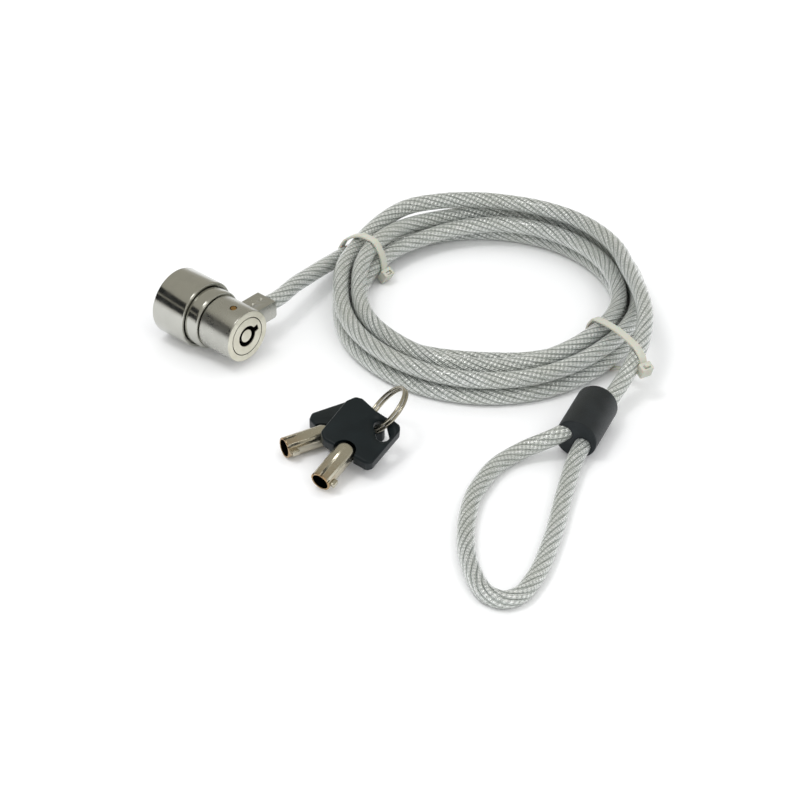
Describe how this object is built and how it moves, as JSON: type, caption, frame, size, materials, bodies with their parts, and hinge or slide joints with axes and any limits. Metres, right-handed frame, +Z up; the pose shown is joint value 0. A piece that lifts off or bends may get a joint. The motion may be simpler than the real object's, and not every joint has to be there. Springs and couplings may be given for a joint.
{
  "type": "laptop cable lock",
  "caption": "Cable lock for a notebook computer: swivelling round lock head with T-bar, coated steel cable in a tied coil ending in a sleeved eye, and tubular keys on a split ring.",
  "frame": {"origin": "middle of the T-bar's outer face, on the lock head's axis; the lock lies on its side on a table 11.5 mm below", "axes": "+X along the lock head's axis from the T-bar to the keyway, +Y the way the cable leaves its lug, +Z up from the table"},
  "size_m": [0.1829, 0.1735, 0.0231],
  "materials": {
    "polished_chrome": "polished",
    "satin_nickel": "satin",
    "pale_metal": "fine satin",
    "black_rubber": "matte",
    "brass": "satin",
    "coated_wire_rope": "glossy clear coat over stranded wire",
    "natural_nylon": "translucent",
    "black_plastic": "satin",
    "warm_nickel": "polished",
    "steel": "satin"
  },
  "bodies": {
    "cord_side": {"swivel_shell": "satin_nickel", "brass_pin": "brass", "cable_ferrule": "steel", "cable_lead": "coated_wire_rope", "cable_coil": "coated_wire_rope", "cable_tail": "coated_wire_rope", "cable_eye": "coated_wire_rope", "tie_left": "natural_nylon", "tie_right": "natural_nylon", "sleeve": "black_plastic", "loop_crimp": "steel"},
    "lock_head": {"front_collar": "polished_chrome", "step_ring": "polished_chrome", "core_body": "pale_metal", "nose_plate": "steel", "rubber_washer": "black_rubber", "pin_spring_1": "steel", "pin_spring_2": "steel", "pin_spring_3": "steel", "pin_spring_4": "steel", "pin_spring_5": "steel", "pin_spring_6": "steel", "pin_spring_7": "steel", "driver_pin_1": "steel", "driver_pin_2": "steel", "driver_pin_3": "steel", "driver_pin_4": "steel", "driver_pin_5": "steel", "driver_pin_6": "steel", "driver_pin_7": "steel"},
    "lock_plug": {"rotor": "brass", "centre_post": "pale_metal", "t_bar": "steel", "retaining_clip": "steel", "key_pin_1": "brass", "key_pin_2": "brass", "key_pin_3": "brass", "key_pin_4": "brass", "key_pin_5": "brass", "key_pin_6": "brass", "key_pin_7": "brass"},
    "key_bunch": {"key_ring": "warm_nickel"},
    "key_1": {"key_1_head": "black_plastic", "key_1_tube": "warm_nickel"},
    "key_2": {"key_2_head": "black_plastic", "key_2_tube": "warm_nickel"}
  },
  "joints": [
    {"name": "head_swivel", "type": "hinge", "parent": "cord_side", "child": "lock_head", "pos_m": [0.0296, 0, 0], "axis": [1, 0, 0], "continuous": true},
    {"name": "key_turn", "type": "hinge", "parent": "lock_head", "child": "lock_plug", "pos_m": [0.025, 0, 0], "axis": [1, 0, 0], "range_deg": [0, 90]},
    {"name": "keys_lift", "type": "slide", "parent": "cord_side", "child": "key_bunch", "axis": [0, 0, 1], "range_m": [0, 0.05]},
    {"name": "key_1_swing", "type": "hinge", "parent": "key_bunch", "child": "key_1", "pos_m": [0.09342, -0.00474, -0.008], "axis": [0, 0, 1], "range_deg": [-12, 0]},
    {"name": "key_2_swing", "type": "hinge", "parent": "key_bunch", "child": "key_2", "pos_m": [0.10236, -0.00753, -0.00243], "axis": [0.2349, -0.191, 0.9531], "range_deg": [0, 12]}
  ]
}
